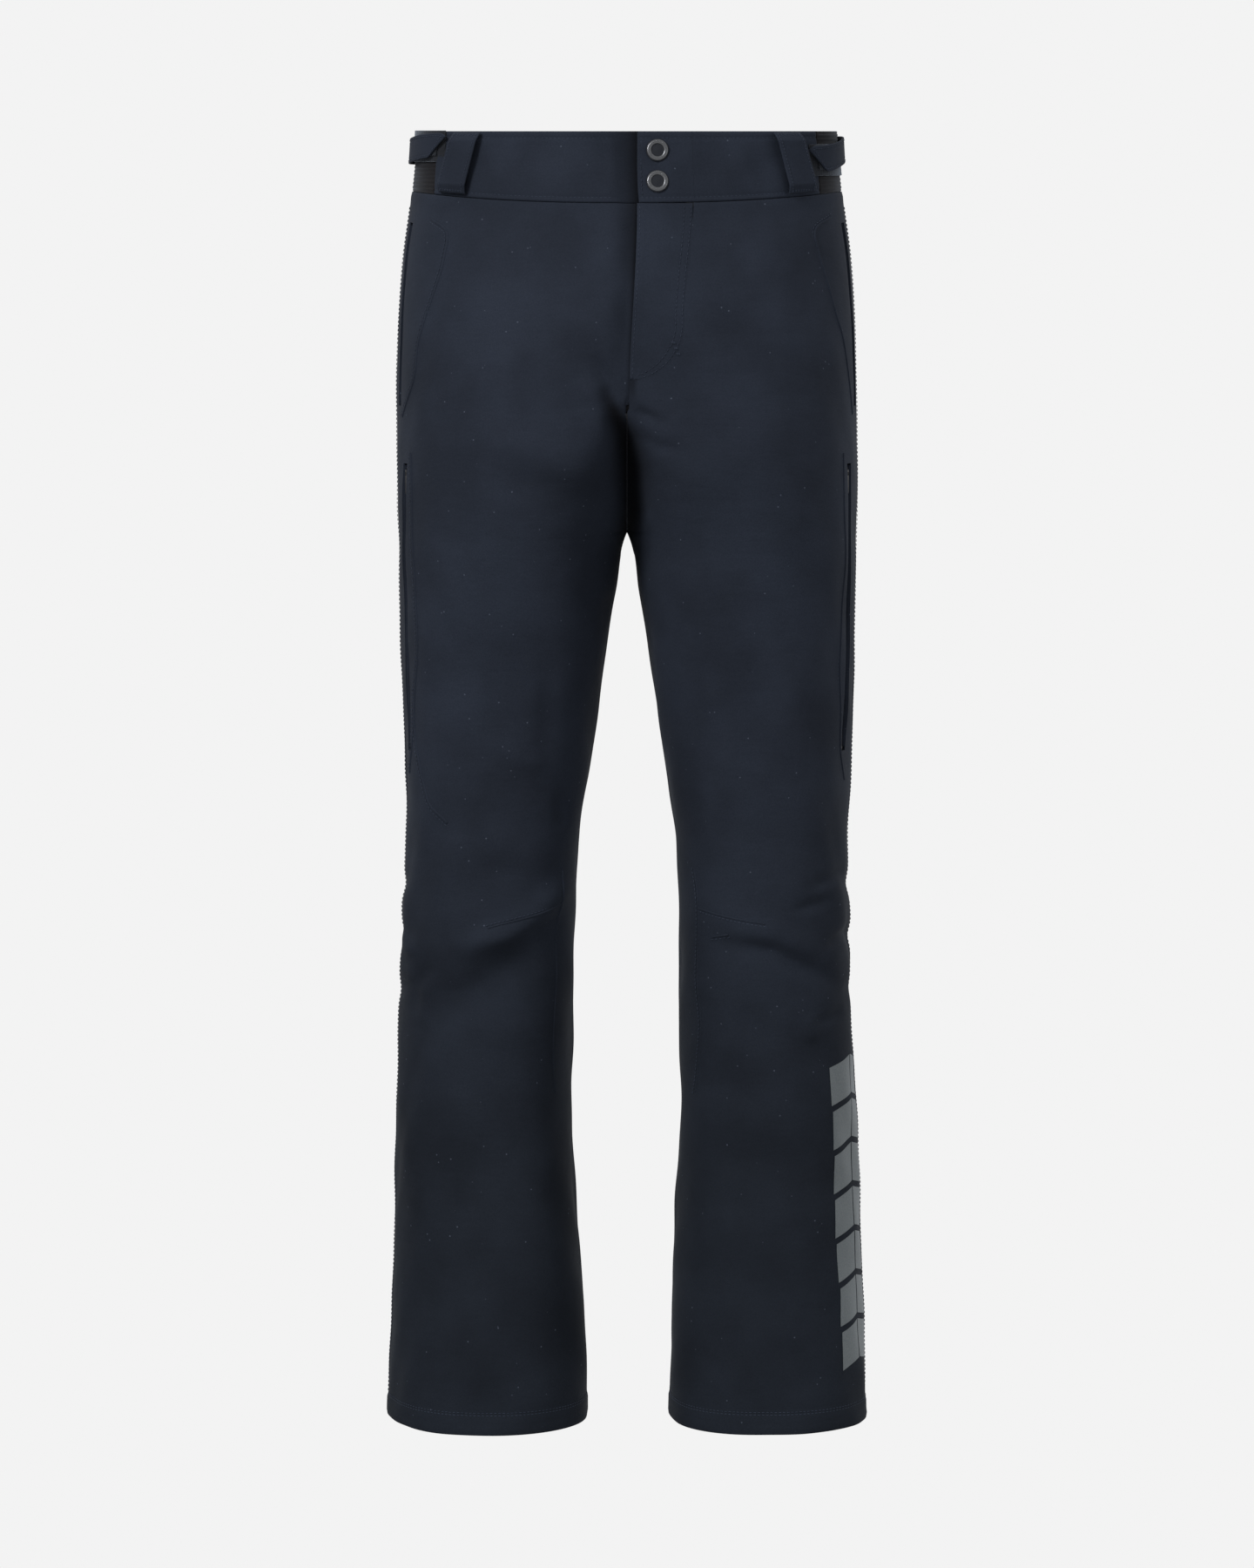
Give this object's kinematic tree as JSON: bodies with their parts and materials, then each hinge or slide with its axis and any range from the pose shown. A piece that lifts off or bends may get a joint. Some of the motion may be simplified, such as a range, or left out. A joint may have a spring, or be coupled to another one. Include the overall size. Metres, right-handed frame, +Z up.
{
  "type": "ski pants",
  "caption": "Ski pants with a contoured waistband, snap and zip fly, adjuster tabs, zipped hand pockets, zipped thigh vents, shaped knees and inner boot gaiters.",
  "frame": {"origin": "centre of the waist opening at the waistband's top edge", "axes": "+Z up along the legs, the front faces -Y, +X is the wearer's left"},
  "size_m": [0.392, 0.2764, 1.054],
  "materials": {
    "shell_cloth": "matt woven softshell, dark navy charcoal",
    "shin_cloth": "matt woven softshell, a shade darker",
    "stretch_cloth": "ribbed stretch knit, brown black",
    "lining_cloth": "plain lining cloth",
    "zip_tape": "woven zip tape",
    "zip_teeth": "moulded coil",
    "hook_and_loop": "hook and loop pile",
    "dark_metal": "dark gunmetal",
    "bright_metal": "pewter ring and dark rim"
  },
  "bodies": {
    "seat": {"left_front_thigh_panel": "shell_cloth", "left_front_knee_panel": "shell_cloth", "left_back_thigh_panel": "shell_cloth", "left_back_knee_panel": "shell_cloth", "left_front_waistband": "shell_cloth", "left_front_belt_loop": "shell_cloth", "left_stretch_panel": "stretch_cloth", "left_pocket_bag": "lining_cloth", "left_loop_patch": "hook_and_loop", "right_front_thigh_panel": "shell_cloth", "right_front_knee_panel": "shell_cloth", "right_back_thigh_panel": "shell_cloth", "right_back_knee_panel": "shell_cloth", "right_front_waistband": "shell_cloth", "right_front_belt_loop": "shell_cloth", "right_stretch_panel": "stretch_cloth", "right_pocket_bag": "lining_cloth", "right_loop_patch": "hook_and_loop", "back_waistband": "shell_cloth", "back_belt_loop": "shell_cloth", "fly_shield": "lining_cloth", "left_pocket_zip_tape": "zip_tape", "left_pocket_zip_teeth": "zip_teeth", "left_vent_zip_tape": "zip_tape", "left_vent_zip_teeth": "zip_teeth", "right_pocket_zip_tape": "zip_tape", "right_pocket_zip_teeth": "zip_teeth", "right_vent_zip_tape": "zip_tape", "right_vent_zip_teeth": "zip_teeth", "fly_zip_tape": "zip_tape", "fly_zip_teeth": "zip_teeth", "upper_snap_stud": "dark_metal", "lower_snap_stud": "dark_metal"},
    "left_shin": {"left_front_shin_panel": "shin_cloth", "left_back_shin_panel": "shin_cloth", "left_gaiter": "lining_cloth"},
    "left_tab": {"left_adjuster_tab": "shell_cloth", "left_hook_patch": "hook_and_loop"},
    "left_pocket_slider": {"left_pocket_zip_slider": "dark_metal"},
    "left_pocket_pull": {"left_pocket_zip_pull": "dark_metal"},
    "left_vent_slider": {"left_vent_zip_slider": "dark_metal"},
    "left_vent_pull": {"left_vent_zip_pull": "dark_metal"},
    "right_shin": {"right_front_shin_panel": "shin_cloth", "right_back_shin_panel": "shin_cloth", "right_gaiter": "lining_cloth"},
    "right_tab": {"right_adjuster_tab": "shell_cloth", "right_hook_patch": "hook_and_loop"},
    "right_pocket_slider": {"right_pocket_zip_slider": "dark_metal"},
    "right_pocket_pull": {"right_pocket_zip_pull": "dark_metal"},
    "right_vent_slider": {"right_vent_zip_slider": "dark_metal"},
    "right_vent_pull": {"right_vent_zip_pull": "dark_metal"},
    "fly_lap": {"waistband_overlap": "shell_cloth", "fly_flap": "shell_cloth", "upper_snap_cap": "bright_metal", "upper_snap_socket": "dark_metal", "lower_snap_cap": "bright_metal", "lower_snap_socket": "dark_metal"},
    "fly_slider": {"fly_zip_slider": "dark_metal"},
    "fly_pull": {"fly_zip_pull": "dark_metal"}
  },
  "joints": [
    {"name": "left_knee", "type": "hinge", "parent": "seat", "child": "left_shin", "pos_m": [0.11272, -0.00805, -0.629], "axis": [1, 0, 0], "range_deg": [0, 80], "deforming": ["left_front_knee_panel", "left_back_knee_panel"]},
    {"name": "left_tab_peel", "type": "hinge", "parent": "seat", "child": "left_tab", "pos_m": [0.16785, 0.03048, -0.017], "axis": [0, 0, 1], "range_deg": [0, 90]},
    {"name": "left_pocket_zip_slide", "type": "slide", "parent": "seat", "child": "left_pocket_slider", "axis": [0.0669, -0.021, -0.9975], "range_m": [0, 0.122]},
    {"name": "left_pocket_pull_swing", "type": "hinge", "parent": "left_pocket_slider", "child": "left_pocket_pull", "pos_m": [0.17206, -0.02689, -0.07814], "axis": [-0.1998, -0.9798, 0.0072], "range_deg": [0, 150]},
    {"name": "left_vent_zip_slide", "type": "slide", "parent": "seat", "child": "left_vent_slider", "axis": [-0.0088, 0.0311, -0.9995], "range_m": [0, 0.208]},
    {"name": "left_vent_pull_swing", "type": "hinge", "parent": "left_vent_slider", "child": "left_vent_pull", "pos_m": [0.17741, -0.05479, -0.26998], "axis": [-0.2903, -0.9565, -0.0273], "range_deg": [0, 150]},
    {"name": "right_knee", "type": "hinge", "parent": "seat", "child": "right_shin", "pos_m": [-0.11272, -0.00805, -0.629], "axis": [1, 0, 0], "range_deg": [0, 80], "deforming": ["right_front_knee_panel", "right_back_knee_panel"]},
    {"name": "right_tab_peel", "type": "hinge", "parent": "seat", "child": "right_tab", "pos_m": [-0.16785, 0.03048, -0.017], "axis": [0, 0, -1], "range_deg": [0, 90]},
    {"name": "right_pocket_zip_slide", "type": "slide", "parent": "seat", "child": "right_pocket_slider", "axis": [-0.0669, -0.021, -0.9975], "range_m": [0, 0.122]},
    {"name": "right_pocket_pull_swing", "type": "hinge", "parent": "right_pocket_slider", "child": "right_pocket_pull", "pos_m": [-0.17206, -0.02689, -0.07814], "axis": [-0.1998, 0.9798, -0.0072], "range_deg": [0, 150]},
    {"name": "right_vent_zip_slide", "type": "slide", "parent": "seat", "child": "right_vent_slider", "axis": [0.0088, 0.0311, -0.9995], "range_m": [0, 0.208]},
    {"name": "right_vent_pull_swing", "type": "hinge", "parent": "right_vent_slider", "child": "right_vent_pull", "pos_m": [-0.17741, -0.05479, -0.26998], "axis": [-0.2903, 0.9565, 0.0273], "range_deg": [0, 150]},
    {"name": "fly_open", "type": "hinge", "parent": "seat", "child": "fly_lap", "pos_m": [0.052, -0.10549, 0.00138], "axis": [0, 0.1619, 0.9868], "range_deg": [0, 70]},
    {"name": "fly_zip_slide", "type": "slide", "parent": "seat", "child": "fly_slider", "axis": [0, -0.1453, -0.9894], "range_m": [0, 0.12]},
    {"name": "fly_pull_swing", "type": "hinge", "parent": "fly_slider", "child": "fly_pull", "pos_m": [0.0141, -0.1032, -0.06521], "axis": [-0.9999, 0.0111, -0.0016], "range_deg": [0, 3]}
  ]
}
